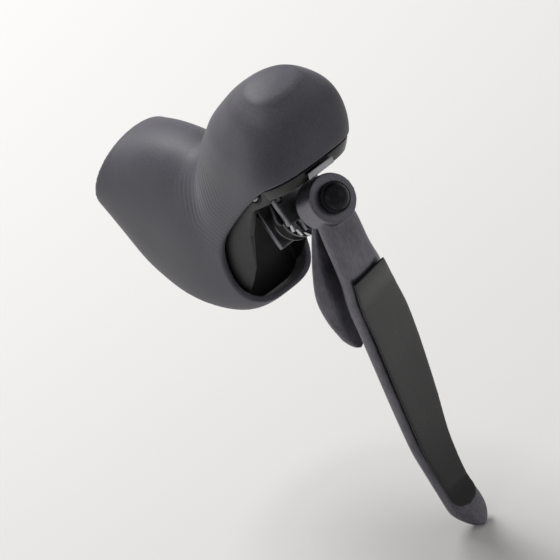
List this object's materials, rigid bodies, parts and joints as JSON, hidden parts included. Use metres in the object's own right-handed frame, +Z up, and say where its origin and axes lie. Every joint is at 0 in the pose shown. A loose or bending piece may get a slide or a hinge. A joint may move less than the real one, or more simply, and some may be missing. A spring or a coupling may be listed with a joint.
{
  "type": "brake shift lever",
  "caption": "Left-hand drop-bar lever: rubber-hooded bracket on a bar clamp, brake blade that swings inwards to shift, release paddle and hydraulic master cylinder.",
  "frame": {"origin": "centre of the handlebar's bore in the clamp, on the bar's centreline", "axes": "+X towards the rider's outer (left) side, -Y forward along the bicycle, +Z up with the blade hanging down"},
  "size_m": [0.0394, 0.1242, 0.1792],
  "materials": {
    "hood_rubber": "matt moulded rubber",
    "black_nylon": "moulded, satin",
    "black_gloss_plastic": "smooth, glossy",
    "satin_grey_aluminium": "dark grey anodised, satin",
    "bare_aluminium": "bead blasted, clear anodised",
    "plated_steel": "zinc plated",
    "bronze_bush": "sintered, plain"
  },
  "bodies": {
    "bracket": {"bracket_body": "black_nylon", "hood_cover": "hood_rubber", "lip_cover": "black_gloss_plastic", "lip_badge": "plated_steel", "clamp_band": "plated_steel", "clamp_pin": "plated_steel", "clamp_bolt": "plated_steel", "clamp_nut": "plated_steel", "cylinder_sleeve": "plated_steel", "bleed_screw": "plated_steel", "reservoir_lid": "black_nylon", "reservoir_diaphragm": "hood_rubber", "lid_screw_lower": "plated_steel", "lid_screw_upper": "plated_steel", "hose_nut": "plated_steel", "cable_stop": "black_nylon", "brake_axle": "plated_steel", "axle_clip_inner": "plated_steel", "axle_clip_outer": "plated_steel", "pivot_washer": "black_nylon"},
    "yoke": {"lever_yoke": "bare_aluminium", "winding_pawl_pin": "plated_steel", "holding_pawl_pin": "plated_steel", "shift_axle": "plated_steel", "shift_axle_nut": "plated_steel", "lever_return_spring": "plated_steel"},
    "blade": {"brake_blade": "satin_grey_aluminium", "blade_face": "black_gloss_plastic", "blade_bush": "bronze_bush", "blade_return_spring": "plated_steel"},
    "paddle": {"release_paddle": "satin_grey_aluminium", "paddle_return_spring": "plated_steel"},
    "spool": {"cable_spool": "black_nylon", "ratchet_ring": "plated_steel", "spool_spring": "plated_steel"},
    "winding_pawl": {"winding_pawl": "plated_steel"},
    "holding_pawl": {"holding_pawl": "plated_steel"},
    "piston": {"piston": "bare_aluminium", "primary_seal": "hood_rubber", "secondary_seal": "hood_rubber", "push_rod": "plated_steel", "piston_spring": "plated_steel"}
  },
  "joints": [
    {"name": "brake_pull", "type": "hinge", "parent": "bracket", "child": "yoke", "pos_m": [0, -0.0563, 0.0478], "axis": [1, 0, 0], "range_deg": [0, 20], "stiffness_Nm_per_rad": 0.9, "springref_deg": -17.19, "deforming": ["lever_return_spring"]},
    {"name": "blade_swing", "type": "hinge", "parent": "yoke", "child": "blade", "pos_m": [0, -0.0793, 0.0438], "axis": [0, 0.829, -0.5592], "range_deg": [0, 16], "stiffness_Nm_per_rad": 0.35, "springref_deg": -17.19, "deforming": ["blade_return_spring"]},
    {"name": "release_swing", "type": "hinge", "parent": "blade", "child": "paddle", "pos_m": [0, -0.0793, 0.0438], "axis": [0, 0.829, -0.5592], "range_deg": [0, 10], "stiffness_Nm_per_rad": 0.12, "springref_deg": -17.19, "deforming": ["paddle_return_spring"]},
    {"name": "spool_turn", "type": "hinge", "parent": "yoke", "child": "spool", "pos_m": [0, -0.0793, 0.0438], "axis": [0, 0.829, -0.5592], "range_deg": [0, 90], "deforming": ["spool_spring"]},
    {"name": "winding_pawl_turn", "type": "hinge", "parent": "yoke", "child": "winding_pawl", "pos_m": [0.0072, -0.056, 0.0381], "axis": [0, 0.829, -0.5592], "range_deg": [0, 6], "stiffness_Nm_per_rad": 0.004, "springref_deg": -17.19},
    {"name": "holding_pawl_turn", "type": "hinge", "parent": "yoke", "child": "holding_pawl", "pos_m": [-0.0072, -0.056, 0.0381], "axis": [0, -0.829, 0.5592], "range_deg": [0, 6], "stiffness_Nm_per_rad": 0.004, "springref_deg": -17.19},
    {"name": "piston_travel", "type": "slide", "parent": "bracket", "child": "piston", "axis": [0, -0.3746, 0.9272], "range_m": [0, 0.0055], "stiffness_N_per_m": 60, "springref_m": -0.003, "deforming": ["piston_spring"]}
  ],
  "couplings": [
    {"joint": "piston_travel", "follows": "brake_pull", "m_per_rad": 0.01229}
  ]
}
